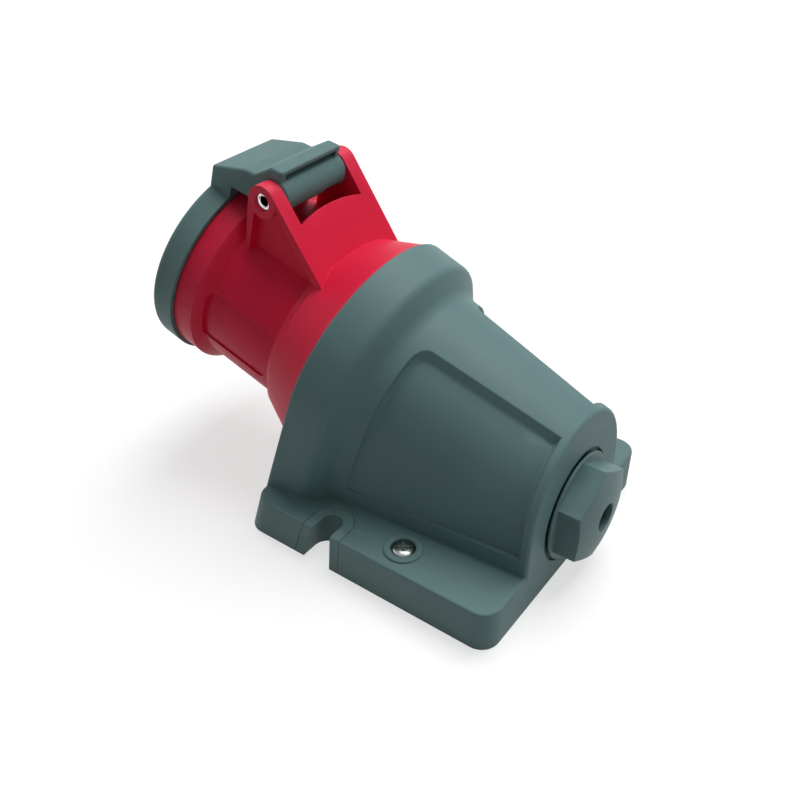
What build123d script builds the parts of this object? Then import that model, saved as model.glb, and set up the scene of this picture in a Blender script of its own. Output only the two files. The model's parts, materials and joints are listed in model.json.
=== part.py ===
from build123d import *
import os
from math import atan2, asin, cos, degrees, hypot, radians, sin, tan

# Wall receptacle lying on its wall face. Millimetres and degrees.
# The wall is z = 0, the socket looks towards -X and upwards, the cable enters from +X.
# The origin lies on the wall, midway between the two fixing slots.

# Foot flange of the cover
foot_rear_x = 70.0
foot_half_width = 55.6
foot_height = 16.8
foot_front_setback = 0.8
foot_corner_radius = 7.0
foot_edge_radius = 1.0
wall = 3.0

# Socket axis: where it leaves the collar's face, and its slope above -X
collar_face_x = -20.7
collar_face_z = 56.8
socket_tilt = 17.4

# Sleeve that the plug enters; the other round sizes follow its radius
sleeve_radius = 35.0
sleeve_wall = 2.6
sleeve_bore = sleeve_radius - sleeve_wall
sleeve_rim = 65.2

# Collar and tapered body of the cover
collar_rise = 11.0
collar_radius = sleeve_radius + collar_rise
collar_rear_radius = collar_radius - 0.8
collar_draft = 1.9
collar_length = 15.0
collar_front_edge = 0.8
collar_rear_edge = 4.0
step_length = 6.5
body_radius = collar_radius - 8.8
body_taper = 0.067
body_draft = 2.3
waist_blend = 6.0
recess_depth = 2.7
recess_draft = 6.5
recess_start = 27.0
recess_corner = 5.0
recess_blend = 1.8
recess_floor_z = 23.5
rear_frame = 3.2
rear_edge_radius = 1.5
roof_half_width = body_radius - 20.8
roof_taper = 0.1
roof_wall_lean = 0.39
roof_wall_height = body_radius - 4.8
collar_front_wall = 4.0

# Fixing slots of the wall plate
slot_width = 8.0
slot_inset = 6.3
slot_end_y = foot_half_width - slot_inset
lug_rim = 4.0
lug_foot_spread = 4.0
lug_foot_shift = 3.2
lug_gap = 0.15
plate_thickness = 3.0
plate_gap = 0.3

# Cover screws
cover_screw_x = 28.5
cover_screw_inset = 10.3
cover_screw_y = foot_half_width - cover_screw_inset
screw_ring_radius = 7.0
screw_ring_height = 0.8
screw_hole_radius = 4.5
cover_head_radius = 4.0
cover_head_height = 2.4
cover_head_seat = 2.7
cover_shank_radius = 1.95
cover_shank_gap = 0.35
thread_gap = 0.05
boss_wall = 1.7
boss_foot_z = 6.0
plate_web = 1.2

# Seal between the cover and the wall plate
cover_seal_inset = 16.0
cover_seal_half_width = foot_half_width - cover_seal_inset
cover_seal_section = 2.0
cover_seal_margin = 6.5
cover_seal_corner = 6.0

# Front ring and skirt of the socket body
rim_radius = sleeve_radius + 1.0
front_ring_radius = sleeve_radius + 4.0
front_ring_end = sleeve_rim - 3.2
front_ring_width = 8.6
front_ring_start = front_ring_end - front_ring_width
front_ring_ramp = 3.9
skirt_radius = collar_radius - 0.7
skirt_crease_radius = skirt_radius - 1.7
skirt_crease = 3.5
skirt_shoulder_radius = sleeve_radius + 3.2
skirt_shoulder = 15.6
skirt_corner = 2.2
skirt_fillet = 3.4
skirt_inner_radius = skirt_radius - 4.0
skirt_inner_depth = 14.5
skirt_wall = 2.8
spigot_radius = sleeve_radius - 0.4
spigot_length = 9.0
spigot_gap = 0.4
panel_half_height = 10.8
panel_start = 20.5
panel_end = front_ring_start - 2.9
panel_depth = 0.6
panel_corner = 3.0
key_width = 8.4
key_depth = 2.4
key_rib_width = 13.0
key_rib_height = 2.2
key_start = 20.0

# Screws that hold the socket body, from inside
socket_screw_circle = (spigot_radius + skirt_inner_radius) / 2 - 0.35
socket_screw_boss = 2.5
socket_screw_boss_top = 10.5
socket_screw_shank = 1.4
socket_screw_reach = 8.0
socket_screw_head = 2.6
socket_screw_head_height = 2.0
socket_screw_gap = 0.3

# Seal between skirt and collar
socket_seal_inner = skirt_inner_radius + 0.4
socket_seal_width = 1.4
socket_seal_depth = 1.2
seal_gap = 0.1

# Hinge
hinge_s = sleeve_rim - 21.7
hinge_rise = 14.5
hinge_u = sleeve_radius + hinge_rise
ear_radius = 6.0
ear_inner = 16.4
ear_thickness = 5.9
ear_foot_s = 12.5
ear_foot_u = sleeve_radius - 2.0
ear_front_s = hinge_s + 3.4
ear_front_u = sleeve_radius - 8.0
ear_rim = 1.9
ear_pocket_depth = 3.2
back_wall_top = hinge_s - 12.1
back_wall_sag = 2.6
back_wall_thickness = 3.0
pin_radius = 3.3
pin_bore = 1.8
pin_end_depth = 1.0
pin_press_gap = 0.01
pin_running_gap = 0.08

# Lid
lid_radius = sleeve_radius + 5.5
lid_overlap = 2.8
lid_rise = 7.2
lid_rear = sleeve_rim - lid_overlap
lid_front = sleeve_rim + lid_rise
lid_front_edge = 2.2
lid_face = 4.4
lid_skirt_inner = rim_radius + 2.0
lid_rib_inner = sleeve_bore - 1.0
lid_rib_wall = 1.6
gasket_inner = lid_rib_inner + lid_rib_wall + 0.2
gasket_height = 2.2
gasket_gap = 0.3
barrel_radius = 6.3
arm_half_width = 16.0
arm_front_u = lid_radius + 4.5
arm_plane_end_s = hinge_s + 14.5
arm_plane_end_u = hinge_u + 2.3
arm_trough_s = hinge_s + 10.3
arm_trough_u = hinge_u + 2.9
lip_ridge_s = hinge_s + 3.7
lip_ridge_u = hinge_u + 9.5
lip_end_s = hinge_s - 1.5
lip_end_u = hinge_u + 10.2
lip_thickness = 1.6
lip_half_width = 13.4
groove_end_s = hinge_s + 5.5
groove_end_u = hinge_u + 5.1
groove_height = 1.3
arm_under_u = lid_radius + 0.7
arm_edge_radius = 1.2
barrel_end_radius = 1.0

# Lid spring
spring_wire = 0.6
spring_radius = 4.3
spring_turns = 3.75
spring_pitch = 1.5
spring_y = 9.5
spring_pocket_half = 4.2
spring_pocket_radius = 5.2
spring_leg = 12.5
spring_arm_leg = 11.0
spring_leg_gap = 0.35
spring_mouth_top = 195.0
spring_stop_depth = 2.0
spring_stop_height = 5.0

# Contact carriers and contacts
carrier_radius = sleeve_bore - 4.5
carrier_front = sleeve_rim - 10.2
carrier_flange_radius = sleeve_bore - 0.3
carrier_split = 12.0
carrier_shoulder = 3.0
carrier_shoulder_bore = carrier_radius + 0.5
terminal_flange_end = -6.2
terminal_radius = sleeve_bore - 4.9
terminal_end = -22.0
clip_thickness = 1.2
clip_outer = sleeve_bore + 0.8
clip_inner = sleeve_bore - 1.8
clip_gap = 0.1
contact_circle = 18.0
contact_count = 5
pin_hole_radius = 2.55
earth_extra = 1.0
tube_wall = 1.05
tube_gap = 0.15
tube_front = carrier_front - 5.2
barrel_wall = 1.85
terminal_lip = 2.0
wire_hole = 2.3
wire_hole_depth = 12.0
slit_width = 0.7
slit_length = 14.0
ring_wall = 0.6
ring_length = 4.0
ring_front = tube_front - 2.8
ring_pocket_end = ring_front - 7.0
terminal_screw_s = -12.0
terminal_screw_radius = 1.6
terminal_screw_length = 6.0
carrier_screw_radius = 2.0
carrier_screw_head = 3.8
carrier_screw_head_height = 2.4
carrier_screw_tip = 30.0

# Cable gland
gland_z = 26.6
gland_spot_radius = 21.5
gland_spot_depth = 1.5
neck_radius = 12.4
neck_bore = 9.5
neck_length = 7.5
neck_shoulder = 6.4
neck_shoulder_length = 1.2
rear_wall = 4.0
nut_across_flats = 33.0
nut_rear_gap = 0.2
nut_ring_radius = 19.5
nut_ring_length = 1.1
nut_corner_x = 9.0
nut_dome = 2.8
nut_hole = 5.3
nut_face = 2.2
nut_thread_gap = 0.08
gland_seal_radius = 9.35
gland_seal_bore = 5.7
gland_seal_length = 6.3
thrust_ring_radius = 9.2
thrust_ring_bore = 5.9
thrust_ring_length = 1.5
thrust_gap = 0.15

reach = 75.0
big = 400.0

socket = Plane(
    origin=(collar_face_x, 0, collar_face_z),
    x_dir=(0, -1, 0),
    z_dir=(-cos(radians(socket_tilt)), 0, sin(radians(socket_tilt))),
)
side = Plane(origin=(0, 0, 0), x_dir=(0, 0, 1), z_dir=(-1, 0, 0))
gland = Plane(origin=(foot_rear_x, 0, gland_z), x_dir=(0, 1, 0), z_dir=(1, 0, 0))


def slab_above(level):
    """Everything above a height in the frame it is used in."""
    return Pos(0, 0, level + big / 2) * Box(big, big, big)


def slab_below(level):
    """Everything below a height in the frame it is used in."""
    return Pos(0, 0, level - big / 2) * Box(big, big, big)


def before_x(limit):
    """Everything on the -X side of a limit."""
    return Pos(limit - big / 2, 0, 0) * Box(big, big, big)


def arch(radius, draft, level):
    """Round-topped section at a level on the socket axis, with drafted sides."""
    lean = radians(draft)
    side_x = radius * cos(lean)
    side_y = radius * sin(lean)
    foot_x = side_x + (side_y + reach) * tan(lean)
    sides = Polyline((side_x, side_y), (foot_x, -reach), (-foot_x, -reach), (-side_x, side_y))
    top = ThreePointArc((-side_x, side_y), (0, radius), (side_x, side_y))
    return Pos(0, 0, level) * make_face(sides + top)


def body_radius_at(level):
    """Outer radius of the tapered body at a level on the socket axis."""
    waist = -(collar_length + step_length)
    return body_radius + body_taper * (level - waist)


def ring(outer, inner, bottom, top):
    """A plain ring between two levels."""
    height = top - bottom
    return Pos(0, 0, bottom + height / 2) * (Cylinder(outer, height) - Cylinder(inner, 2 * height))


def rod(radius, bottom, top):
    """A plain round rod between two levels."""
    height = top - bottom
    return Pos(0, 0, bottom + height / 2) * Cylinder(radius, height)


def side_prism(points, half_width):
    """A prism from points of the side view, across the socket axis."""
    return extrude(side * make_face(Polyline(*points, close=True)), half_width, both=True)


def cross_rod(s, u, radius, half_length):
    """A rod along the hinge direction."""
    return extrude(side * (Pos(s, u) * Circle(radius)), half_length, both=True)


def foot_block():
    """The foot flange's outer form, with its front face leaning like the collar."""
    length = 150.0
    block = Pos(foot_rear_x - length / 2, 0, foot_height / 2) * Box(length, 2 * foot_half_width, foot_height)
    block = block & (socket * slab_below(-foot_front_setback))
    corners = block.edges().filter_by(
        lambda e: abs(e.center().Z - foot_height / 2) < 0.1 and abs(abs(e.center().Y) - foot_half_width) < 0.1
    )
    block = fillet(corners, foot_corner_radius)
    return fillet(block.faces().sort_by(Axis.Z)[-1].edges(), foot_edge_radius)


def lug_outline(radius, centre_x, level):
    """U-shaped outline open to -Y."""
    far = foot_half_width + 10
    legs = Polyline(
        (centre_x - radius, -slot_end_y),
        (centre_x - radius, -far),
        (centre_x + radius, -far),
        (centre_x + radius, -slot_end_y),
    )
    end = ThreePointArc(
        (centre_x + radius, -slot_end_y),
        (centre_x, -slot_end_y + radius),
        (centre_x - radius, -slot_end_y),
    )
    return Pos(0, 0, level) * make_face(legs + end)


def lug_form(radius):
    """A U-shaped prism that spreads and shifts towards the wall."""
    over = 1.2
    foot = -(over - 1) * foot_height
    spread = lug_foot_spread / 2
    bottom = lug_outline(radius + spread * over, -lug_foot_shift * over, foot)
    top = lug_outline(radius - spread * (over - 1), lug_foot_shift * (over - 1), foot_height * over)
    return loft([bottom, top], ruled=True)


def both_sides(shape):
    """A shape and its mirror image across the middle plane."""
    return shape + mirror(shape, about=Plane.XZ)


def side_recess():
    """The sunk field on one flank of the body, as the space outside the roof strip's wall."""
    sections = []
    for level in (-recess_start, -120.0):
        edge = roof_half_width + roof_taper * (level + recess_start)
        top = 60.0
        low = 10.0
        points = (
            (edge + roof_wall_lean * (roof_wall_height - top), top),
            (edge + roof_wall_lean * (roof_wall_height - low), low),
            (edge + roof_wall_lean * (roof_wall_height - low), -reach),
            (90.0, -reach),
            (90.0, top),
        )
        sections.append(Pos(0, 0, level) * make_face(Polyline(*points, close=True)))
    field = loft(sections, ruled=True)
    corner = field.faces().sort_by(Axis.Z)[-1].edges().sort_by(Axis.X)[:2]
    field = fillet(corner.filter_by(lambda e: e.center().Y > 0), recess_corner)
    field = socket * field
    return field & slab_above(recess_floor_z) & before_x(foot_rear_x - rear_frame)


def recess_floor_edges(hull, field):
    """Edges where a recess's wall meets its floor, on both flanks."""
    found = []
    for edge in hull.edges():
        middle = edge @ 0.5
        flank = Vector(middle.X, -abs(middle.Y), middle.Z)
        if edge.length < 9 or middle.Z < recess_floor_z + 1 or field.distance_to(flank) > 0.005:
            continue
        place = socket.to_local_coords(middle)
        sunk = body_radius_at(place.Z) - hypot(place.X, max(place.Y, 0))
        if sunk > recess_depth * 0.8:
            found.append(edge)
    return found


def cover_outside():
    """The cover's solid outer form."""
    waist = -(collar_length + step_length)
    rear = -112.0
    rear_arch = arch(collar_rear_radius, collar_draft, -collar_length)
    collar = loft([rear_arch, arch(collar_radius, collar_draft, 0)], ruled=True)
    collar = fillet(collar.faces().sort_by(Axis.Z)[-1].edges(), collar_front_edge)
    step = loft([rear_arch, arch(body_radius, body_draft, waist)], ruled=True)
    outer = loft([arch(body_radius, body_draft, waist), arch(body_radius_at(rear), body_draft, rear)], ruled=True)
    hull = collar + step + outer
    rear_rim = hull.edges().filter_by(
        lambda e: abs(e.center().Z + collar_length) < 0.01 and e.center().Y > 1 - reach
    )
    hull = fillet(rear_rim, collar_rear_edge)
    neck_line = hull.edges().filter_by(lambda e: abs(e.center().Z - waist) < 0.05 and e.center().Y > 1 - reach)
    hull = fillet(neck_line, waist_blend)
    inner_start = waist + step_length / 2
    sunk = loft(
        [
            arch(body_radius_at(inner_start) - recess_depth, recess_draft, inner_start),
            arch(body_radius_at(rear) - recess_depth, recess_draft, rear),
        ],
        ruled=True,
    )
    field = side_recess()
    hull = socket * hull - field - mirror(field, about=Plane.XZ)
    hull = hull + socket * sunk
    hull = hull & slab_above(0) & before_x(foot_rear_x)
    hull = fillet(recess_floor_edges(hull, field), recess_blend)
    rim = hull.edges().filter_by(
        lambda e: abs(e.center().X - foot_rear_x) < 0.01 and e.center().Z > recess_floor_z
    )
    hull = fillet(rim, rear_edge_radius)
    return hull + foot_block()


def cover_cavity():
    """The hollow inside the cover."""
    waist = -(collar_length + step_length)
    rear = -112.0
    back = 2.0
    bay = extrude(
        arch(collar_radius - wall, collar_draft, -collar_length), collar_length - collar_front_wall
    )
    throat = loft(
        [
            arch(collar_radius - wall, collar_draft, -collar_length),
            arch(body_radius_at(waist - back) - recess_depth - wall, recess_draft, waist - back),
        ],
        ruled=True,
    )
    tail = loft(
        [
            arch(body_radius_at(waist - back) - recess_depth - wall, recess_draft, waist - back),
            arch(body_radius_at(rear) - recess_depth - wall, recess_draft, rear),
        ],
        ruled=True,
    )
    hollow = socket * (bay + throat + tail) & before_x(foot_rear_x - rear_wall)
    inner_y = foot_half_width - wall
    length = 150.0
    under = Pos(foot_rear_x - wall - length / 2, 0, (foot_height - wall) / 2) * Box(
        length, 2 * inner_y, foot_height - wall
    )
    under = under & (socket * slab_below(-foot_front_setback - wall))
    ribs = seal_ring_outline(plate_thickness + cover_seal_section, foot_height) - hollow
    return hollow + (under - ribs)


def seal_ring_outline(bottom, top):
    """Rounded rectangular ring over the seal's track."""
    front_x = collar_face_x - collar_face_z * tan(radians(socket_tilt)) + cover_seal_margin
    rear_x = foot_rear_x - cover_seal_margin
    centre = (front_x + rear_x) / 2
    outer = RectangleRounded(rear_x - front_x, 2 * cover_seal_half_width, cover_seal_corner)
    inner = RectangleRounded(
        rear_x - front_x - 2 * cover_seal_section,
        2 * (cover_seal_half_width - cover_seal_section),
        cover_seal_corner - cover_seal_section,
    )
    return Pos(centre, 0, bottom) * extrude(outer - inner, top - bottom)


def screw_stations():
    """Places of the two cover screws."""
    return [(cover_screw_x, -cover_screw_y), (cover_screw_x, cover_screw_y)]


def housing_cover():
    """Grey moulded cover with collar, tapered body, foot flange and gland neck."""
    cover = cover_outside() - cover_cavity()
    cover = cover - socket * rod(spigot_radius + spigot_gap, -collar_length, 1)
    groove = ring(socket_seal_inner + socket_seal_width + seal_gap, socket_seal_inner - seal_gap, -socket_seal_depth, 1)
    cover = cover - socket * groove
    for i in range(4):
        spot = Rot(0, 0, 45 + 90 * i) * Pos(socket_screw_circle, 0, 0)
        cover = cover - socket * (spot * rod(socket_screw_shank + socket_screw_gap, -collar_length, 1))
    for x, y in screw_stations():
        boss = rod(cover_shank_radius + cover_shank_gap + boss_wall, boss_foot_z, foot_height - wall / 2)
        collar = rod(screw_ring_radius, foot_height - wall, foot_height + screw_ring_height)
        collar = fillet(collar.faces().sort_by(Axis.Z)[-1].edges(), screw_ring_height / 2)
        seat = foot_height + screw_ring_height - cover_head_seat
        hole = rod(screw_hole_radius, seat, foot_height + 5)
        shank = rod(cover_shank_radius + cover_shank_gap, 0, foot_height)
        seat_pad = rod(screw_hole_radius + boss_wall, seat - wall, foot_height - wall / 2)
        cover = cover + Pos(x, y, 0) * (boss + collar + seat_pad)
        cover = cover - Pos(x, y, 0) * (hole + shank)
    notch = lug_form(slot_width / 2 + lug_rim + lug_gap)
    cover = cover - both_sides(notch)
    spot_face = gland * rod(gland_spot_radius, -gland_spot_depth, 5)
    neck = gland * rod(neck_radius, -rear_wall, neck_length)
    bore = gland * rod(neck_bore, -rear_wall + neck_shoulder_length, neck_length + 1)
    inlet = gland * rod(neck_shoulder, -rear_wall - 5, neck_length)
    return cover - spot_face + neck - bore - inlet


def wall_plate():
    """Plate on the wall with two raised U-shaped fixing lugs."""
    inset = wall + plate_gap
    front = socket * slab_below(-foot_front_setback - inset)
    length = 150.0
    plate = Pos(foot_rear_x - inset - length / 2, 0, plate_thickness / 2) * Box(
        length, 2 * (foot_half_width - inset), plate_thickness
    )
    plate = plate & front
    corners = plate.edges().filter_by(
        lambda e: abs(e.center().Z - plate_thickness / 2) < 0.1
        and abs(abs(e.center().Y) - foot_half_width + inset) < 0.1
    )
    plate = fillet(corners, foot_corner_radius - inset)
    lug = lug_form(slot_width / 2 + lug_rim) & foot_block()
    plate = plate + both_sides(lug)
    for x, y in screw_stations():
        pillar = rod(cover_shank_radius + boss_wall, 0, boss_foot_z)
        plate = plate + Pos(x, y, 0) * pillar
        plate = plate - Pos(x, y, 0) * rod(cover_shank_radius + thread_gap, plate_web, boss_foot_z + 1)
    return plate - both_sides(lug_form(slot_width / 2))


def cover_seal():
    """Soft ring between the cover's inner rib and the wall plate."""
    return seal_ring_outline(plate_thickness, plate_thickness + cover_seal_section)


def pan_screw(head_radius, head_height, shank_radius, length):
    """A pan-head screw that points down from z = 0, with a slot and a cross."""
    head = rod(head_radius, 0, head_height)
    head = fillet(head.faces().sort_by(Axis.Z)[-1].edges(), head_height * 0.45)
    slot = Pos(0, 0, head_height) * Box(head_radius * 1.7, head_radius * 0.22, head_height)
    cross = Pos(0, 0, head_height) * Box(head_radius * 0.22, head_radius * 1.1, head_height * 1.3)
    point = Pos(0, 0, -length - shank_radius / 2) * Cone(shank_radius * 0.2, shank_radius, shank_radius)
    return head + rod(shank_radius, -length, 0) + point - slot - cross


def cover_screws():
    """Two screws that hold the cover to the wall plate."""
    seat = foot_height + screw_ring_height - cover_head_seat
    length = seat - plate_web - 2 * cover_shank_radius
    screw = pan_screw(cover_head_radius, cover_head_height, cover_shank_radius, length)
    return Compound(children=[Pos(x, y, seat) * Rot(0, 0, 35) * screw for x, y in screw_stations()])


def tangent_point(point, centre, radius, turn):
    """Where a line from a point touches a circle; turn is +1 or -1 for the side."""
    dx = centre[0] - point[0]
    dy = centre[1] - point[1]
    distance = hypot(dx, dy)
    angle = atan2(dy, dx) + turn * asin(radius / distance)
    run = (distance**2 - radius**2) ** 0.5
    return (point[0] + run * cos(angle), point[1] + run * sin(angle))


def ear_rear_slope():
    """Slope of the ears' rear edge, as a unit direction in the side view."""
    foot = (ear_foot_s, ear_foot_u)
    touch = tangent_point(foot, (hinge_s, hinge_u), ear_radius, 1)
    run = hypot(touch[0] - foot[0], touch[1] - foot[1])
    return ((touch[0] - foot[0]) / run, (touch[1] - foot[1]) / run)


def ear_profile():
    """Side view of an ear: a round boss that widens to the sleeve."""
    centre = (hinge_s, hinge_u)
    rear_foot = (ear_foot_s, ear_foot_u)
    front_foot = (ear_front_s, ear_front_u)
    rear_touch = tangent_point(rear_foot, centre, ear_radius, 1)
    front_touch = tangent_point(front_foot, centre, ear_radius, -1)
    web = Polyline(centre, front_touch, front_foot, (ear_foot_s, ear_front_u), rear_foot, rear_touch, close=True)
    return make_face(web) + Pos(*centre) * Circle(ear_radius)


def ear_pocket():
    """Side view of the sunk field in an ear's outer face."""
    along = ear_rear_slope()
    start = (ear_foot_s + along[1] * ear_rim, ear_foot_u - along[0] * ear_rim)
    end = (start[0] + along[0] * 30, start[1] + along[1] * 30)
    front = ear_front_s - ear_rim
    points = [start, end, (front + 1.2, hinge_u), (front, ear_front_u - 5), (start[0] - 12, ear_front_u - 5)]
    return make_face(Polyline(*points, close=True)) - Pos(hinge_s, hinge_u) * Circle(ear_radius)


def hinge_bracket():
    """Two ears and the leaning wall between them."""
    outer = ear_inner + ear_thickness
    ears = extrude(side * ear_profile(), outer, both=True)
    ears = ears - Box(2 * ear_inner, big, big)
    pocket = Pos(ear_inner + ear_thickness - ear_pocket_depth, 0, 0) * extrude(side * ear_pocket(), -10)
    ears = ears - pocket - mirror(pocket, about=Plane.YZ)
    along = ear_rear_slope()
    run = (back_wall_top - ear_foot_s) / along[0]
    top = (ear_foot_s + along[0] * run, ear_foot_u + along[1] * run)
    thick = back_wall_thickness
    points = [
        top,
        (top[0] + along[1] * thick, top[1] - along[0] * thick),
        (ear_foot_s + along[1] * thick, ear_foot_u - along[0] * thick),
        (ear_foot_s - 4, ear_front_u),
        (ear_foot_s - 4, ear_foot_u - 4 * along[1] / along[0]),
    ]
    back = side_prism(points, ear_inner + ear_thickness)
    rear = Plane(origin=(0, top[1], top[0]), x_dir=(1, 0, 0), z_dir=(0, along[0], -along[1]))
    edge = ThreePointArc((-ear_inner, back_wall_sag), (0, 0), (ear_inner, back_wall_sag))
    over = Polyline((-ear_inner, back_wall_sag), (-ear_inner, -thick), (ear_inner, -thick), (ear_inner, back_wall_sag))
    return ears + (back - extrude(rear * make_face(edge + over), thick + 2, both=True))


def sleeve_profile():
    """Half section of the red body: sleeve, front ring and skirt."""
    shoulder = (skirt_shoulder_radius, skirt_shoulder)
    points = [
        (sleeve_bore, sleeve_rim),
        (rim_radius, sleeve_rim),
        (rim_radius, front_ring_end),
        (front_ring_radius, front_ring_end),
        (front_ring_radius, front_ring_start),
        (sleeve_radius, front_ring_start - front_ring_ramp),
        (sleeve_radius, skirt_shoulder + skirt_fillet),
        (shoulder[0] - skirt_corner, skirt_shoulder + skirt_corner / 2),
        shoulder,
        (skirt_crease_radius, skirt_crease),
        (skirt_radius, 0),
        (sleeve_bore, 0),
    ]
    return make_face(Plane.XZ * Polyline(*points, close=True))


def spring_stop():
    """Small rib on the sleeve that the spring's fixed leg pushes against."""
    start = spring_leg_s() + spring_wire
    low = sleeve_bore + 1
    top = sleeve_radius + spring_stop_height
    width = 2 * spring_pocket_half - 2
    return Pos(-spring_y, (low + top) / 2, start + spring_stop_depth / 2) * Box(width, top - low, spring_stop_depth)


def socket_body():
    """Red moulding: sleeve with front ring, skirt, hinge ears and spigot."""
    body = revolve(sleeve_profile(), Axis.Z)
    body = body + hinge_bracket()
    rib = Pos(0, -(sleeve_radius + key_rib_height) / 2, (key_start + front_ring_start) / 2 - 2) * Box(
        key_rib_width, sleeve_radius + key_rib_height, front_ring_start - key_start + 4
    )
    rib = fillet(rib.edges().filter_by(Axis.Z).sort_by(Axis.Y)[:2], key_rib_height)
    body = body + rib + spring_stop()
    body = body - rod(sleeve_bore, -1, sleeve_rim + 1)
    inside = Plane.XZ * make_face(
        Polyline(
            (sleeve_radius, -1),
            (skirt_inner_radius, -1),
            (skirt_inner_radius, 0),
            (skirt_shoulder_radius - skirt_wall, skirt_inner_depth),
            (sleeve_radius, skirt_inner_depth),
            close=True,
        )
    )
    body = body - revolve(inside, Axis.Z)
    body = body + ring(spigot_radius, sleeve_bore, -spigot_length, skirt_inner_depth)
    shoulder_top = carrier_split + carrier_shoulder
    body = body + ring(sleeve_bore + 0.5, carrier_shoulder_bore, carrier_split, shoulder_top)
    for i in range(4):
        spot = Rot(0, 0, 45 + 90 * i) * Pos(socket_screw_circle, 0, 0)
        body = body + spot * rod(socket_screw_boss, 0, socket_screw_boss_top)
    for i in range(4):
        spot = Rot(0, 0, 45 + 90 * i) * Pos(socket_screw_circle, 0, 0)
        body = body - spot * rod(socket_screw_shank + thread_gap, -1, socket_screw_reach + 1)
    groove_top = sleeve_rim - key_start
    key = Pos(0, -(sleeve_bore + key_depth) / 2, key_start + groove_top / 2 + 1) * Box(
        key_width, sleeve_bore + key_depth, groove_top + 2
    )
    body = body - (key - rod(carrier_shoulder_bore, 0, sleeve_rim + 2))
    field = RectangleRounded(panel_end - panel_start, 2 * panel_half_height, panel_corner)
    field = extrude(side * (Pos((panel_start + panel_end) / 2, 0) * field), big / 4, both=True)
    body = body - (field - rod(sleeve_radius - panel_depth, 0, sleeve_rim + 5))
    body = body - cross_rod(hinge_s, hinge_u, pin_radius + pin_press_gap, ear_inner + ear_thickness + 1)
    clip_slot = ring(clip_outer + clip_gap, sleeve_bore - 1, terminal_flange_end - clip_thickness - clip_gap,
                     terminal_flange_end - clip_gap / 2)
    return socket * (body - clip_slot)


def socket_seal():
    """Soft ring between the skirt and the collar's face."""
    return socket * ring(socket_seal_inner + socket_seal_width, socket_seal_inner, -socket_seal_depth, 0)


def socket_screws():
    """Four screws from inside the cover into the skirt's bosses."""
    length = socket_screw_reach + collar_front_wall - socket_screw_shank
    screw = pan_screw(socket_screw_head, socket_screw_head_height, socket_screw_shank, length)
    screw = Pos(0, 0, -collar_front_wall) * Rot(180, 0, 0) * screw
    return Compound(
        children=[socket * (Rot(0, 0, 45 + 90 * i) * Pos(socket_screw_circle, 0, 0) * screw) for i in range(4)]
    )


def hinge_pin():
    """Hollow steel pin through both ears."""
    half = ear_inner + ear_thickness - pin_end_depth
    return socket * (cross_rod(hinge_s, hinge_u, pin_radius, half) - cross_rod(hinge_s, hinge_u, pin_bore, half + 1))


def contact_angle(index):
    """Angle of a contact round the axis; the earth contact, index 0, faces the wall."""
    return -90 + index * 360 / contact_count


def contact_extra(index):
    """How much larger the earth contact is than the others."""
    return earth_extra if index == 0 else 0.0


def contact_spot(index):
    """Place of a contact on its circle."""
    return Rot(0, 0, contact_angle(index)) * Pos(contact_circle, 0, 0)


def contact_carrier():
    """Front insulator with the five pin holes."""
    body = rod(carrier_radius, carrier_split, carrier_front)
    body = fillet(body.faces().sort_by(Axis.Z)[-1].edges(), 0.8)
    for i in range(contact_count):
        extra = contact_extra(i)
        tube = pin_hole_radius + extra + tube_wall + tube_gap
        hole = rod(pin_hole_radius + extra, 0, carrier_front + 1)
        pocket = rod(tube, 0, tube_front + tube_gap)
        ring_pocket = rod(tube + ring_wall, ring_pocket_end, tube_front + tube_gap)
        body = body - contact_spot(i) * (hole + pocket + ring_pocket)
    body = body - rod(carrier_screw_radius + thread_gap, 0, carrier_screw_tip + 2)
    return socket * body


def terminal_carrier():
    """Rear insulator with a chamber for each terminal."""
    body = rod(carrier_flange_radius, terminal_flange_end, carrier_split)
    body = body + rod(terminal_radius, terminal_end, carrier_split)
    for i in range(contact_count):
        extra = contact_extra(i)
        barrel = pin_hole_radius + extra + barrel_wall + tube_gap
        chamber = rod(barrel, terminal_end + terminal_lip, carrier_split + 1)
        wire = rod(wire_hole + extra + 0.6, terminal_end - 1, carrier_split)
        access = Pos(0, 0, terminal_screw_s) * Rot(0, 90, 0) * rod(terminal_screw_radius + 0.6, 0, 20)
        body = body - contact_spot(i) * (chamber + wire + access)
    head_seat = terminal_end + carrier_screw_head_height + 0.6
    body = body - rod(carrier_screw_radius + 0.3, terminal_end - 1, carrier_split + 1)
    return socket * (body - rod(carrier_screw_head + 0.3, terminal_end - 1, head_seat))


def carrier_screw():
    """Long screw that joins the two insulators."""
    seat = terminal_end + carrier_screw_head_height + 0.6
    length = carrier_screw_tip - seat - carrier_screw_radius
    screw = pan_screw(carrier_screw_head, carrier_screw_head_height, carrier_screw_radius, length)
    return socket * (Pos(0, 0, seat) * Rot(180, 0, 0) * screw)


def carrier_clip():
    """Snap ring that keeps the insulators in the spigot."""
    top = terminal_flange_end - clip_gap
    clip = ring(clip_outer, clip_inner, top - clip_thickness, top)
    gap = Pos(0, clip_outer, top - clip_thickness / 2) * Box(8, clip_outer, 3 * clip_thickness)
    return socket * (clip - gap)


def contact(index):
    """Brass sleeve for one pin, slit at the front, with a screw terminal behind."""
    extra = contact_extra(index)
    bore = pin_hole_radius + extra
    tube = ring(bore + tube_wall, bore, carrier_split, tube_front)
    end = terminal_end + terminal_lip + tube_gap
    barrel = rod(bore + barrel_wall, end, carrier_split)
    wire = rod(wire_hole + extra / 2, end - 1, end + wire_hole_depth)
    slit = Pos(0, 0, tube_front - slit_length / 2 + 1) * Box(big / 10, slit_width, slit_length + 2)
    screw = Pos(0, 0, terminal_screw_s) * Rot(0, 90, 0) * rod(terminal_screw_radius + thread_gap, 0, 20)
    return socket * (contact_spot(index) * (tube + barrel - wire - slit - screw))


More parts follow.
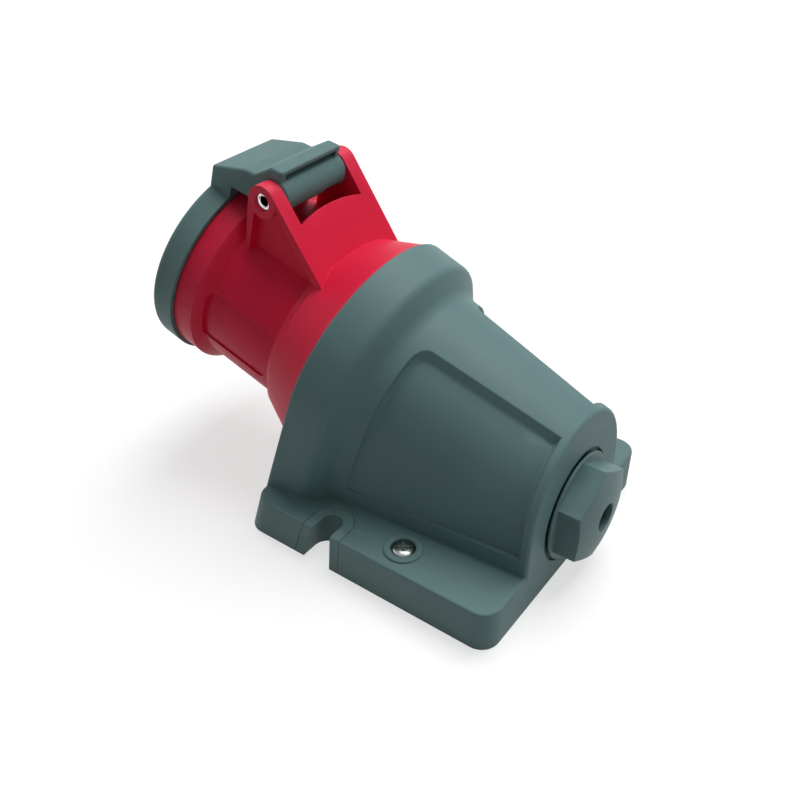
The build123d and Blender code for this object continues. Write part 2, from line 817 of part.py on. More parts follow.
def contact_springs():
    """Steel rings round the contact sleeves."""
    rings = []
    for i in range(contact_count):
        outer = pin_hole_radius + contact_extra(i) + tube_wall
        one = ring(outer + ring_wall, outer + 0.01, ring_front - ring_length, ring_front)
        rings.append(socket * (contact_spot(i) * one))
    return Compound(children=rings)


def terminal_screws():
    """One clamping screw in each terminal, its tip resting in the wire hole."""
    screws = []
    for i in range(contact_count):
        start = wire_hole + contact_extra(i) / 2 - 0.6
        shank = rod(terminal_screw_radius, start, start + terminal_screw_length)
        slot = Pos(0, 0, start + terminal_screw_length) * Box(4, 0.6, 1.6)
        one = Pos(0, 0, terminal_screw_s) * Rot(0, 90, 0) * (shank - slot)
        screws.append(socket * (contact_spot(i) * one))
    return Compound(children=screws)


def arm_profile():
    """Side view of the lid's arm: a sloping top, a trough and a lip over the barrel."""
    floor = lid_skirt_inner - 4
    lip_low = lip_end_u - lip_thickness
    points = [
        (lid_front, floor),
        (lid_front, arm_front_u),
        (arm_plane_end_s, arm_plane_end_u),
        (arm_trough_s, arm_trough_u),
        (lip_ridge_s, lip_ridge_u),
        (lip_end_s, lip_end_u),
        (lip_end_s, lip_low),
        (lip_end_s, hinge_u),
        (hinge_s, hinge_u - barrel_radius),
        (lid_rear, arm_under_u),
        (lid_rear, floor),
    ]
    face = make_face(Polyline(*points, close=True))
    for place, radius in (
        ((lid_front, arm_front_u), arm_edge_radius),
        ((arm_plane_end_s, arm_plane_end_u), 4.0),
        ((arm_trough_s, arm_trough_u), 2.5),
        ((lip_ridge_s, lip_ridge_u), 1.8),
        ((lip_end_s, lip_end_u), 0.6),
    ):
        corner = face.vertices().sort_by(lambda v: hypot(v.X - place[0], v.Y - place[1]))[0]
        face = fillet(corner, radius)
    return face


def lip_groove():
    """Side view of the dark groove between lip and barrel, open to the rear."""
    low = lip_end_u - lip_thickness
    back = lip_end_s - 10
    points = [
        (back, low),
        (lip_end_s, low),
        (groove_end_s, groove_end_u + groove_height),
        (groove_end_s, groove_end_u),
        (hinge_s, hinge_u + barrel_radius - 0.3),
        (back, hinge_u + barrel_radius - 4),
    ]
    return make_face(Polyline(*points, close=True))


def arm_top_edges(arm):
    """Long outer edges of the arm's two flanks, without those over the barrel."""
    edges = arm.edges().filter_by(lambda e: abs(abs(e.center().X) - arm_half_width) < 0.01)
    edges = edges.filter_by(lambda e: e.center().Y > arm_front_u - 3)
    low = lip_end_u - lip_thickness
    return edges.filter_by(lambda e: e.center().Y > low or e.center().Z > hinge_s)


def lid_arm():
    """Hinge arm of the lid with its barrel."""
    arm = extrude(side * arm_profile(), arm_half_width, both=True)
    arm = fillet(arm_top_edges(arm), arm_edge_radius)
    barrel = cross_rod(hinge_s, hinge_u, barrel_radius, arm_half_width)
    barrel = fillet(barrel.edges().filter_by(GeomType.CIRCLE), barrel_end_radius)
    groove = extrude(side * lip_groove(), lip_half_width, both=True)
    groove = groove - cross_rod(hinge_s, hinge_u, barrel_radius, big / 4)
    rear = hinge_s - barrel_radius
    low = lip_end_u - lip_thickness
    behind = side_prism([(rear - 5, hinge_u), (lip_end_s, hinge_u), (lip_end_s, low), (rear - 5, low)], big / 4)
    ends = behind - Box(2 * lip_half_width, big, big)
    ends = ends - cross_rod(hinge_s, hinge_u, barrel_radius, big / 4)
    return arm + barrel - groove - ends


def spring_leg_s():
    """Where the spring's fixed leg runs down, in front of the pin."""
    return hinge_s + spring_radius


def spring_coil():
    """Centre line of the coil; it starts in front of the pin and ends below it."""
    return Helix(spring_pitch, spring_turns * spring_pitch, spring_radius)


def spring_place():
    """Where the coil's own frame sits."""
    start = spring_y - spring_turns * spring_pitch / 2
    return socket * Plane(origin=(-start, hinge_u, hinge_s), x_dir=(0, 0, 1), z_dir=(-1, 0, 0)).location


def spring_pocket():
    """Hollow in the barrel for the coil and its legs."""
    half = spring_pocket_half
    pocket = cross_rod(hinge_s, hinge_u, spring_pocket_radius, half)
    front = spring_leg_s() + spring_wire + spring_leg_gap
    lean = radians(spring_mouth_top)
    far = 12.0
    mouth = [
        (front, hinge_u),
        (front, hinge_u - far),
        (hinge_s - far, hinge_u - far),
        (hinge_s + far * cos(lean), hinge_u + far * sin(lean)),
        (hinge_s, hinge_u),
    ]
    pocket = Pos(-spring_y, 0, 0) * (pocket + side_prism(mouth, half))
    coil = spring_coil()
    hole = Plane(origin=coil @ 1, z_dir=coil % 1) * rod(spring_wire + spring_leg_gap, 0, spring_arm_leg + 1)
    return socket * pocket + spring_place() * hole


def lid():
    """Grey cap with its hinge arm."""
    cap = rod(lid_radius, lid_rear, lid_front)
    cap = fillet(cap.faces().sort_by(Axis.Z)[-1].edges(), lid_front_edge)
    cap = cap + lid_arm()
    floor = lid_front - lid_face
    cap = cap - rod(lid_skirt_inner, lid_rear - 5, floor)
    rib = ring(lid_rib_inner + lid_rib_wall, lid_rib_inner, floor - gasket_height, floor + 1)
    cap = cap + rib
    cap = cap - cross_rod(hinge_s, hinge_u, pin_radius + pin_running_gap, arm_half_width + 1)
    return socket * cap - spring_pocket()


def lid_gasket():
    """Soft ring in the lid that meets the sleeve's rim."""
    top = lid_front - lid_face
    return socket * ring(lid_skirt_inner - gasket_gap, gasket_inner, top - gasket_height, top)


def lid_spring():
    """Torsion spring round the hinge pin: one leg stands on the sleeve, one sits in the lid's arm."""
    coil = spring_coil()
    fixed = Line(coil @ 0 - (coil % 0) * spring_leg, coil @ 0)
    moving = Line(coil @ 1, coil @ 1 + (coil % 1) * spring_arm_leg)
    path = Wire([fixed.edge(), coil.edge(), moving.edge()])
    return spring_place() * sweep(Plane(origin=path @ 0, z_dir=path % 0) * Circle(spring_wire), path)


def gland_nut():
    """Domed hexagon cap nut with a round ring behind."""
    corner = nut_across_flats / 2 / cos(radians(30))
    sphere = (corner**2 + nut_dome**2) / (2 * nut_dome)
    blank = extrude(RegularPolygon(corner, 6, rotation=0), nut_corner_x + nut_dome)
    dome = Pos(0, 0, nut_corner_x + nut_dome - sphere) * Sphere(sphere)
    nut = blank & dome
    nut = nut - slab_below(nut_rear_gap)
    ring_top = nut_rear_gap + nut_ring_length
    nut = nut + rod(nut_ring_radius, nut_rear_gap, ring_top)
    inner_top = nut_corner_x + nut_dome - nut_face - nut_dome / 4
    nut = nut - rod(neck_radius + nut_thread_gap, -1, inner_top) - rod(nut_hole, 0, big / 4)
    return gland * nut


def gland_seal():
    """Rubber ring in the gland neck."""
    start = -rear_wall + neck_shoulder_length
    return gland * ring(gland_seal_radius, gland_seal_bore, start, start + gland_seal_length)


def gland_thrust_ring():
    """Slip ring between the nut and the seal."""
    top = nut_corner_x + nut_dome - nut_face - nut_dome / 4 - thrust_gap
    start = -rear_wall + neck_shoulder_length + gland_seal_length + thrust_gap
    foot = ring(thrust_ring_radius, thrust_ring_bore, start, start + thrust_ring_length)
    return gland * (foot + ring(thrust_ring_bore + 1.6, thrust_ring_bore, start, top))


def all_parts():
    """Every sub-part by its name."""
    parts = {
        "housing_cover": housing_cover(),
        "wall_plate": wall_plate(),
        "cover_seal": cover_seal(),
        "cover_screws": cover_screws(),
        "socket_body": socket_body(),
        "socket_seal": socket_seal(),
        "socket_screws": socket_screws(),
        "hinge_pin": hinge_pin(),
        "contact_carrier": contact_carrier(),
        "terminal_carrier": terminal_carrier(),
        "carrier_screw": carrier_screw(),
        "carrier_clip": carrier_clip(),
        "contact_springs": contact_springs(),
        "terminal_screws": terminal_screws(),
        "lid": lid(),
        "lid_gasket": lid_gasket(),
        "lid_spring": lid_spring(),
        "gland_nut": gland_nut(),
        "gland_seal": gland_seal(),
        "gland_thrust_ring": gland_thrust_ring(),
    }
    names = ("contact_earth", "contact_l3", "contact_l2", "contact_l1", "contact_neutral")
    for index, name in enumerate(names):
        parts[name] = contact(index)
    return parts


os.makedirs("parts", exist_ok=True)
for name, shape in all_parts().items():
    export_step(shape, f"parts/{name}.step")
    print(name, round(shape.volume, 1), len(shape.solids()))
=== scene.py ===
"""Dresses a packed wall receptacle: sprung lid, red sleeve, grey housing, slotted foot and cable gland."""

import json
import logging
from dataclasses import dataclass
from enum import Enum
from math import cos, pi, radians, sin, tau

import bmesh
import bpy
from mathutils import Matrix, Vector


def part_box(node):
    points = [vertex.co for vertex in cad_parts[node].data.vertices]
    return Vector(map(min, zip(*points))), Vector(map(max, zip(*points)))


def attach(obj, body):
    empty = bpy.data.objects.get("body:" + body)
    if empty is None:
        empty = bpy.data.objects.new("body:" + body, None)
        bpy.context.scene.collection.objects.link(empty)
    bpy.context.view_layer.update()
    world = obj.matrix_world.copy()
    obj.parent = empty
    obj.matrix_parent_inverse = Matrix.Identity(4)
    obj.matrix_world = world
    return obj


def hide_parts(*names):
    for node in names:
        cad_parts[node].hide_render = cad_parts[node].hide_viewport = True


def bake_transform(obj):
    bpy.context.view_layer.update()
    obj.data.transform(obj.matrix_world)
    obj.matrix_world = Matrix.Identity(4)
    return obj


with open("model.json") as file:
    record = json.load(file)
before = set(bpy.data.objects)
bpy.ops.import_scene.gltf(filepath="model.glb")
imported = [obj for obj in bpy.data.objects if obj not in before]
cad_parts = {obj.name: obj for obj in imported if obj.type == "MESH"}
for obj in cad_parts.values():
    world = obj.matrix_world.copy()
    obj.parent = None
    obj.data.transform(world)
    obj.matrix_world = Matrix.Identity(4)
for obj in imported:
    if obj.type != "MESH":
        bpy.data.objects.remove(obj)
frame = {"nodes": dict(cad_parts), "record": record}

LOG = logging.getLogger("receptacle")
MM = 0.001
MERGE_DISTANCE = 0.002 * MM
CUT_MERGE_DISTANCE = 0.004 * MM
BORE_SHADE_ATTRIBUTE = "painted_bore_shade"  # mesh attribute: 1 on a bore's wall, where painted shade darkens the colour
MIX_FACTOR, MIX_FIRST, MIX_SECOND, MIX_RESULT = 0, 6, 7, 2  # sockets of a Mix node that mixes colours

Colour = tuple[float, float, float]
Profile = list[tuple[float, float]]


class Surface(Enum):
    """Kinds of surface that the receptacle shows."""

    COVER = "cover_grey"
    PLATE = "plate_grey"
    LID = "lid_grey"
    GLAND = "gland_grey"
    SLEEVE = "socket_red"
    INSULATOR = "insulator"
    PIN = "pin_steel"
    SCREW = "screw_steel"
    SPRING = "spring_steel"
    CONTACT = "contact_brass"
    SEAL = "seal_rubber"
    GLAND_SEAL = "gland_rubber"


class Texture(Enum):
    """Ways in which a metal surface was worked, with the scale of its marks along X, Y and Z."""

    TURNED = (1.0, 0.06, 1.0)
    DRAWN = (1.0, 1.0, 0.1)


def scaled(colour: Colour, share: float) -> tuple[float, float, float, float]:
    """Gives a colour times a share, no channel above 1, as four numbers."""
    return tuple(min(1.0, channel * share) for channel in colour) + (1.0,)


class NodeTree:
    """Thin wrapper that adds nodes to a tree and links them."""

    def __init__(self, tree: bpy.types.NodeTree) -> None:
        """Keeps the tree.

        Args:
            tree: The node tree to fill.
        """
        self.tree = tree

    def add(self, kind: str, values: dict[str, object] | None = None, **settings: object) -> bpy.types.Node:
        """Adds one node.

        Args:
            kind: The node's type name.
            values: What the node's inputs are set to, by their names.
            **settings: Properties set on the node.

        Returns:
            The new node.
        """
        node = self.tree.nodes.new(kind)
        for key, value in settings.items():
            setattr(node, key, value)
        for key, value in (values or {}).items():
            node.inputs[key].default_value = value
        return node

    def link(self, source: bpy.types.NodeSocket, target: bpy.types.NodeSocket) -> None:
        """Links one output to one input."""
        self.tree.links.new(source, target)

    def feed(self, value: object, socket: bpy.types.NodeSocket) -> None:
        """Links a socket to an input, or sets the input to a number or a colour.

        Args:
            value: A socket, a number or a colour.
            socket: The input.
        """
        if isinstance(value, bpy.types.NodeSocket):
            self.link(value, socket)
        else:
            socket.default_value = value

    def place(self) -> bpy.types.NodeSocket:
        """Gives the object coordinates' socket."""
        return self.add("ShaderNodeTexCoord").outputs["Object"]

    def math(
        self, operation: str, first: object, second: object, clamp: bool = False
    ) -> bpy.types.NodeSocket:
        """Adds a maths node.

        Args:
            operation: The maths operation.
            first: A socket or a number.
            second: A socket or a number.
            clamp: Whether the result is kept between 0 and 1.

        Returns:
            The result's socket.
        """
        node = self.add("ShaderNodeMath", operation=operation, use_clamp=clamp)
        for socket, value in zip(node.inputs, (first, second)):
            self.feed(value, socket)
        return node.outputs[0]

    def blend_colour(self, factor: object, first: object, second: object) -> bpy.types.NodeSocket:
        """Mixes two colours.

        Args:
            factor: A socket or a number.
            first: The colour at factor 0, a socket or four numbers.
            second: The colour at factor 1, a socket or four numbers.

        Returns:
            The mixed colour's socket.
        """
        node = self.add("ShaderNodeMix", data_type="RGBA")
        for index, value in ((MIX_FACTOR, factor), (MIX_FIRST, first), (MIX_SECOND, second)):
            self.feed(value, node.inputs[index])
        return node.outputs[MIX_RESULT]

    def spread(
        self, value: bpy.types.NodeSocket, low: float, high: float, span: tuple[float, float] = (0.0, 1.0),
        kind: str = "LINEAR",
    ) -> bpy.types.NodeSocket:
        """Maps a span of values onto a range.

        Args:
            value: The value's socket.
            low: Result at the span's start.
            high: Result at the span's end.
            span: The values at the start and at the end.
            kind: How the result runs from low to high.

        Returns:
            The mapped value's socket.
        """
        limits = {"From Min": span[0], "From Max": span[1], "To Min": low, "To Max": high}
        node = self.add("ShaderNodeMapRange", limits, interpolation_type=kind)
        self.link(value, node.inputs["Value"])
        return node.outputs["Result"]

    def rounded(self, radius: float, samples: int) -> bpy.types.NodeSocket:
        """Gives a normal that rounds sharp edges by a radius in metres."""
        return self.add("ShaderNodeBevel", {"Radius": radius}, samples=samples).outputs["Normal"]

    def bump(
        self, height: bpy.types.NodeSocket, strength: float, depth: float,
        normal: bpy.types.NodeSocket | None = None,
    ) -> bpy.types.NodeSocket:
        """Turns a height into a normal.

        Args:
            height: The height's socket.
            strength: How strong the bumps are.
            depth: How deep they are, in metres.
            normal: The normal that they stand on, if it isn't the mesh's own.

        Returns:
            The normal's socket.
        """
        node = self.add("ShaderNodeBump", {"Strength": strength, "Distance": depth})
        self.link(height, node.inputs["Height"])
        if normal is not None:
            self.link(normal, node.inputs["Normal"])
        return node.outputs["Normal"]


class EffectGroups:
    """Shader node groups that several finishes share."""

    cell_scale: float = 0.7
    cell_height: float = 0.5
    patch_scale: float = 38.0
    edge_points: tuple[float, float] = (0.52, 0.60)
    edge_noise_scale: float = 160.0
    streak_scale: tuple[float, float, float] = (1.0, 1.0, 2.4)
    streak_turn: tuple[float, float, float] = (0.3, 0.5, 0.2)

    def __init__(self) -> None:
        """Builds every group once."""
        self.grain = self._grain()
        self.edge_highlight = self._edge_highlight()
        self.handling = self._handling()

    @staticmethod
    def _start(name: str, inputs: dict[str, float], outputs: tuple[str, ...]) -> tuple[NodeTree, dict, dict]:
        """Starts a group with named sockets.

        Args:
            name: The group's name.
            inputs: Input names with their default values.
            outputs: Output names.

        Returns:
            The tree, the inputs by name and the outputs by name.
        """
        group = bpy.data.node_groups.new(name, "ShaderNodeTree")
        for key, value in inputs.items():
            socket = group.interface.new_socket(name=key, in_out="INPUT", socket_type="NodeSocketFloat")
            socket.default_value = value
        for key in outputs:
            group.interface.new_socket(name=key, in_out="OUTPUT", socket_type="NodeSocketFloat")
        tree = NodeTree(group)
        entry = tree.add("NodeGroupInput")
        leave = tree.add("NodeGroupOutput")
        return tree, {key: entry.outputs[key] for key in inputs}, {key: leave.inputs[key] for key in outputs}

    def _grain(self) -> bpy.types.NodeTree:
        """Makes the fine spark-eroded texture of a mould.

        Returns:
            The group, with a Height and a Patch output.
        """
        inputs = {"Scale": 1400.0, "Sharpness": 0.5}
        tree, given, made = self._start("mould_grain", inputs, ("Height", "Patch"))
        place = tree.place()
        fine = tree.add("ShaderNodeTexNoise", {"Detail": 3.0})
        tree.link(place, fine.inputs["Vector"])
        tree.link(given["Scale"], fine.inputs["Scale"])
        tree.link(given["Sharpness"], fine.inputs["Roughness"])
        cells = tree.add("ShaderNodeTexVoronoi")
        tree.link(place, cells.inputs["Vector"])
        tree.link(tree.math("MULTIPLY", given["Scale"], self.cell_scale), cells.inputs["Scale"])
        raised = tree.math("MULTIPLY", cells.outputs[0], self.cell_height)
        tree.link(tree.math("ADD", fine.outputs[0], raised), made["Height"])
        broad = tree.add("ShaderNodeTexNoise", {"Scale": self.patch_scale, "Detail": 2.0})
        tree.link(place, broad.inputs["Vector"])
        tree.link(broad.outputs[0], made["Patch"])
        return tree.tree

    def _edge_highlight(self) -> bpy.types.NodeTree:
        """Makes a mask for painted highlights, strong on outer edges and broken up by noise.

        Returns:
            The group, with a Mask output.
        """
        tree, given, made = self._start("edge_light", {"Strength": 1.0, "Break-up": 0.4}, ("Mask",))
        point = tree.add("ShaderNodeNewGeometry").outputs["Pointiness"]
        outer = tree.spread(point, 0.0, 1.0, self.edge_points)
        noise = tree.add("ShaderNodeTexNoise", {"Scale": self.edge_noise_scale})
        tree.link(tree.place(), noise.inputs["Vector"])
        broken = tree.math("MULTIPLY", noise.outputs[0], given["Break-up"])
        # Painted highlight: the mask is strongest on sharp outer edges.
        lit_edge = tree.math("SUBTRACT", outer, broken)
        tree.link(tree.math("MULTIPLY", lit_edge, given["Strength"], clamp=True), made["Mask"])
        return tree.tree

    def _handling(self) -> bpy.types.NodeTree:
        """Makes the faint streaks and dull spots that handling leaves.

        Returns:
            The group, with a Dullness output.
        """
        tree, given, made = self._start("handling_marks", {"Scale": 60.0}, ("Dullness",))
        stretch = tree.add("ShaderNodeMapping", {"Scale": self.streak_scale, "Rotation": self.streak_turn})
        tree.link(tree.place(), stretch.inputs["Vector"])
        noise = tree.add("ShaderNodeTexNoise", {"Detail": 5.0, "Roughness": 0.62})
        tree.link(stretch.outputs[0], noise.inputs["Vector"])
        tree.link(given["Scale"], noise.inputs["Scale"])
        tree.link(noise.outputs[0], made["Dullness"])
        return tree.tree


def new_material(name: str) -> tuple[bpy.types.Material, NodeTree, bpy.types.Node]:
    """Starts a material.

    Args:
        name: The material's name.

    Returns:
        The material, its node tree and its shader.
    """
    material = bpy.data.materials.new(name)
    material.use_nodes = True
    return material, NodeTree(material.node_tree), material.node_tree.nodes["Principled BSDF"]


@dataclass(frozen=True)
class MouldedPlastic:
    """A moulded plastic with fine texture, soft edges, faint handling marks and a painted highlight on its
    outer edges.
    """

    name: str
    colour: Colour
    # Lighter colour of the painted highlight on outer edges.
    highlight_colour: Colour
    rough: float = 0.46
    rough_spread: float = 0.07
    grain_scale: float = 1500.0
    grain_depth: float = 0.012 * MM
    grain_strength: float = 0.35
    edge_radius: float = 0.45 * MM
    edge_samples: int = 6
    edge_strength: float = 0.5
    tone_spread: float = 0.06
    specular: float = 0.5

    def build(self, effects: EffectGroups) -> bpy.types.Material:
        """Makes the material.

        Args:
            effects: The shared effect groups.

        Returns:
            The finished material.
        """
        material, tree, shader = new_material(self.name)
        grain = tree.add("ShaderNodeGroup", {"Scale": self.grain_scale}, node_tree=effects.grain)
        edge = tree.add("ShaderNodeGroup", {"Strength": self.edge_strength}, node_tree=effects.edge_highlight)
        marks = tree.add("ShaderNodeGroup", node_tree=effects.handling)
        low = scaled(self.colour, 1.0 - self.tone_spread)
        high = scaled(self.colour, 1.0 + self.tone_spread)
        toned = tree.blend_colour(grain.outputs["Patch"], low, high)
        # Painted highlight: outer edges take a lighter colour.
        lit = tree.blend_colour(edge.outputs["Mask"], toned, scaled(self.highlight_colour, 1.0))
        tree.link(lit, shader.inputs["Base Color"])
        smooth, rough = self.rough - self.rough_spread, self.rough + self.rough_spread
        dull = tree.spread(marks.outputs["Dullness"], smooth, rough)
        tree.link(dull, shader.inputs["Roughness"])
        soft = tree.rounded(self.edge_radius, self.edge_samples)
        grained = tree.bump(grain.outputs["Height"], self.grain_strength, self.grain_depth, soft)
        tree.link(grained, shader.inputs["Normal"])
        shader.inputs["Specular IOR Level"].default_value = self.specular
        return material


@dataclass(frozen=True)
class WorkedMetal:
    """A bare metal with fine marks from how it was worked, painted highlights on its outer edges and painted
    shade inside bores.
    """

    name: str
    colour: Colour
    rough: float
    texture: Texture
    rough_shares: tuple[float, float] = (0.7, 1.3)
    mark_scale: float = 3000.0
    mark_depth: float = 0.004 * MM
    mark_strength: float = 0.25
    spot_scale: float = 220.0
    spot_shade: float = 0.82
    edge_radius: float = 0.15 * MM
    edge_samples: int = 4
    # edge_shine, edge_break_up and the highlight colour set the painted highlight on outer edges.
    edge_shine: float = 0.4
    edge_break_up: float = 0.15
    highlight_colour: Colour = (0.86, 0.87, 0.86)
    # Share of the colour left on a bore's wall: painted shade.
    bore_shade: float = 0.10

    def build(self, effects: EffectGroups) -> bpy.types.Material:
        """Makes the material.

        Args:
            effects: The shared effect groups.

        Returns:
            The finished material.
        """
        material, tree, shader = new_material(self.name)
        stretch = tree.add("ShaderNodeMapping", {"Scale": self.texture.value})
        tree.link(tree.place(), stretch.inputs["Vector"])
        noise = tree.add("ShaderNodeTexNoise", {"Scale": self.mark_scale, "Detail": 2.0})
        tree.link(stretch.outputs[0], noise.inputs["Vector"])
        marks = tree.add("ShaderNodeGroup", {"Scale": self.spot_scale}, node_tree=effects.handling)
        dark, plain = scaled(self.colour, self.spot_shade), scaled(self.colour, 1.0)
        toned = tree.blend_colour(marks.outputs["Dullness"], dark, plain)
        # Painted highlight: outer edges take a bright colour.
        highlight_inputs = {"Strength": self.edge_shine, "Break-up": self.edge_break_up}
        edge = tree.add("ShaderNodeGroup", highlight_inputs, node_tree=effects.edge_highlight)
        shined = tree.blend_colour(edge.outputs["Mask"], toned, scaled(self.highlight_colour, 1.0))
        # Painted shade: a bore's wall takes a much darker colour.
        bore_shade_mask = tree.add("ShaderNodeAttribute", attribute_name=BORE_SHADE_ATTRIBUTE).outputs["Fac"]
        shade = scaled(self.colour, self.bore_shade)
        tree.link(tree.blend_colour(bore_shade_mask, shined, shade), shader.inputs["Base Color"])
        smooth, rough = (self.rough * share for share in self.rough_shares)
        tree.link(tree.spread(noise.outputs[0], smooth, rough), shader.inputs["Roughness"])
        shader.inputs["Metallic"].default_value = 1.0
        soft = tree.rounded(self.edge_radius, self.edge_samples)
        marked = tree.bump(noise.outputs[0], self.mark_strength, self.mark_depth, soft)
        tree.link(marked, shader.inputs["Normal"])
        return material


@dataclass(frozen=True)
class SealRubber:
    """A dark, matt rubber."""

    name: str
    colour: Colour
    rough: float = 0.72
    rough_spread: float = 0.1
    grain_scale: float = 900.0
    grain_depth: float = 0.02 * MM
    grain_strength: float = 0.3
    bloom: float = 1.8
    specular: float = 0.35

    def build(self, effects: EffectGroups) -> bpy.types.Material:
        """Makes the material.

        Args:
            effects: The shared effect groups.

        Returns:
            The finished material.
        """
        material, tree, shader = new_material(self.name)
        grain = tree.add("ShaderNodeGroup", {"Scale": self.grain_scale}, node_tree=effects.grain)
        patch = grain.outputs["Patch"]
        toned = tree.blend_colour(patch, scaled(self.colour, 1.0), scaled(self.colour, self.bloom))
        tree.link(toned, shader.inputs["Base Color"])
        dull = tree.spread(patch, self.rough - self.rough_spread, self.rough + self.rough_spread)
        tree.link(dull, shader.inputs["Roughness"])
        grained = tree.bump(grain.outputs["Height"], self.grain_strength, self.grain_depth)
        tree.link(grained, shader.inputs["Normal"])
        shader.inputs["Specular IOR Level"].default_value = self.specular
        return material


GREY = (0.114, 0.202, 0.204)
PLATE_GREY = (0.108, 0.193, 0.196)
LID_GREY = (0.112, 0.200, 0.198)
GLAND_GREY = (0.104, 0.186, 0.187)
# Lighter colours that paint highlights on the plastics' outer edges.
GREY_EDGE_HIGHLIGHT = (0.20, 0.31, 0.305)
SIGNAL_RED = (0.715, 0.010, 0.050)
SIGNAL_RED_EDGE_HIGHLIGHT = (0.84, 0.06, 0.12)
INSULATOR_BLACK = (0.028, 0.03, 0.033)
INSULATOR_EDGE_HIGHLIGHT = (0.06, 0.062, 0.066)
PIN_STEEL = (0.80, 0.80, 0.81)
SCREW_STEEL = (0.30, 0.33, 0.32)
SPRING_STEEL = (0.52, 0.52, 0.53)
BRASS = (0.78, 0.60, 0.27)
SEAL_BLACK = (0.012, 0.012, 0.013)
GLAND_BLACK = (0.03, 0.03, 0.032)

FINISHES: dict[Surface, MouldedPlastic | WorkedMetal | SealRubber] = {
    Surface.COVER: MouldedPlastic(
        "cover_grey_plastic", GREY, GREY_EDGE_HIGHLIGHT, rough=0.54, edge_radius=0.9 * MM, specular=0.24
    ),
    Surface.PLATE: MouldedPlastic("plate_grey_plastic", PLATE_GREY, GREY_EDGE_HIGHLIGHT, rough=0.55, specular=0.24),
    Surface.LID: MouldedPlastic(
        "lid_grey_plastic", LID_GREY, GREY_EDGE_HIGHLIGHT, rough=0.56, edge_radius=0.6 * MM, specular=0.22
    ),
    Surface.GLAND: MouldedPlastic(
        "gland_grey_plastic", GLAND_GREY, GREY_EDGE_HIGHLIGHT, rough=0.50, grain_scale=2200.0, specular=0.26
    ),
    Surface.SLEEVE: MouldedPlastic(
        "sleeve_red_plastic", SIGNAL_RED, SIGNAL_RED_EDGE_HIGHLIGHT, grain_scale=2400.0, tone_spread=0.05, specular=0.18
    ),
    Surface.INSULATOR: MouldedPlastic("insulator_plastic", INSULATOR_BLACK, INSULATOR_EDGE_HIGHLIGHT, rough=0.55),
    Surface.PIN: WorkedMetal("hinge_pin_steel", PIN_STEEL, 0.25, Texture.TURNED),
    # The screws' high edge_shine paints a bright highlight round their rims.
    Surface.SCREW: WorkedMetal("screw_stainless", SCREW_STEEL, 0.26, Texture.TURNED, edge_shine=0.9),
    Surface.SPRING: WorkedMetal("spring_wire_steel", SPRING_STEEL, 0.35, Texture.DRAWN),
    Surface.CONTACT: WorkedMetal("contact_brass", BRASS, 0.24, Texture.TURNED),
    Surface.SEAL: SealRubber("seal_black_rubber", SEAL_BLACK),
    Surface.GLAND_SEAL: SealRubber("gland_grey_rubber", GLAND_BLACK),
}


class Wardrobe:
    """Builds each finish once and puts it on pieces."""

    def __init__(self) -> None:
        """Builds the shared effects and all finishes."""
        self.effects = EffectGroups()
        self.materials = {surface: finish.build(self.effects) for surface, finish in FINISHES.items()}

    def dress(self, piece: bpy.types.Object, surface: Surface) -> None:
        """Puts one finish on a whole piece.

        Args:
            piece: The object to dress.
            surface: Which surface it has.
        """
        piece.data.materials.clear()
        piece.data.materials.append(self.materials[surface])

    def dress_frame(self) -> None:
        """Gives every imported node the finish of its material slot."""
        slots = {part["node"]: part["material_slot"] for part in frame["record"]["subparts"]}
        for name, node in frame["nodes"].items():
            self.dress(node, Surface(slots[name]))
            LOG.info("dressed %s as %s", name, slots[name])


class PieceMaker:
    """Turns a bmesh into a finished piece that rides on the frame."""

    def __init__(self, wardrobe: Wardrobe) -> None:
        """Keeps the wardrobe.

        Args:
            wardrobe: Where finishes come from.
        """
        self.wardrobe = wardrobe

    def finish(
        self, shape: bmesh.types.BMesh, name: str, body: str | None, surface: Surface, smooth: float = 30.0
    ) -> bpy.types.Object:
        """Cleans, smooths, dresses and mounts one piece.

        Args:
            shape: The piece's mesh, in the row frame, in metres. It is freed.
            name: The piece's name.
            body: The body that it rides on, or None for a piece that rides on no body.
            surface: Which finish it takes.
            smooth: Edges flatter than this angle shade smoothly, in degrees.

        Returns:
            The finished piece.
        """
        bmesh.ops.remove_doubles(shape, verts=shape.verts, dist=MERGE_DISTANCE)
        bmesh.ops.recalc_face_normals(shape, faces=shape.faces)
        for face in shape.faces:
            face.smooth = True
        for edge in shape.edges:
            edge.smooth = edge.is_manifold and edge.calc_face_angle(0.0) < radians(smooth)
        mesh = bpy.data.meshes.new(name)
        shape.to_mesh(mesh)
        shape.free()
        piece = bpy.data.objects.new(name, mesh)
        bpy.context.scene.collection.objects.link(piece)
        self.wardrobe.dress(piece, surface)
        if body is not None:
            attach(piece, body)
        LOG.info("made %s with %d faces on %s", name, len(mesh.polygons), body or "two bodies")
        return piece


def spun_shape(profile: Profile, steps: int, closed: bool = True) -> bmesh.types.BMesh:
    """Spins a half section about the X axis.

    Args:
        profile: Pairs of place along X and radius, in metres.
        steps: Segments round the axis.
        closed: Whether the last point joins the first.

    Returns:
        The spun mesh.
    """
    shape = bmesh.new()
    points = [shape.verts.new((x, 0.0, r)) for x, r in profile]
    pairs = list(zip(points, points[1:]))
    if closed:
        pairs.append((points[-1], points[0]))
    edges = [shape.edges.new(pair) for pair in pairs]
    bmesh.ops.spin(
        shape, geom=points + edges, cent=(0, 0, 0), axis=(1, 0, 0), dvec=(0, 0, 0), angle=tau, steps=steps,
        use_merge=True, use_duplicate=False,
    )
    bmesh.ops.remove_doubles(shape, verts=shape.verts, dist=MERGE_DISTANCE)
    bmesh.ops.recalc_face_normals(shape, faces=shape.faces)
    return shape


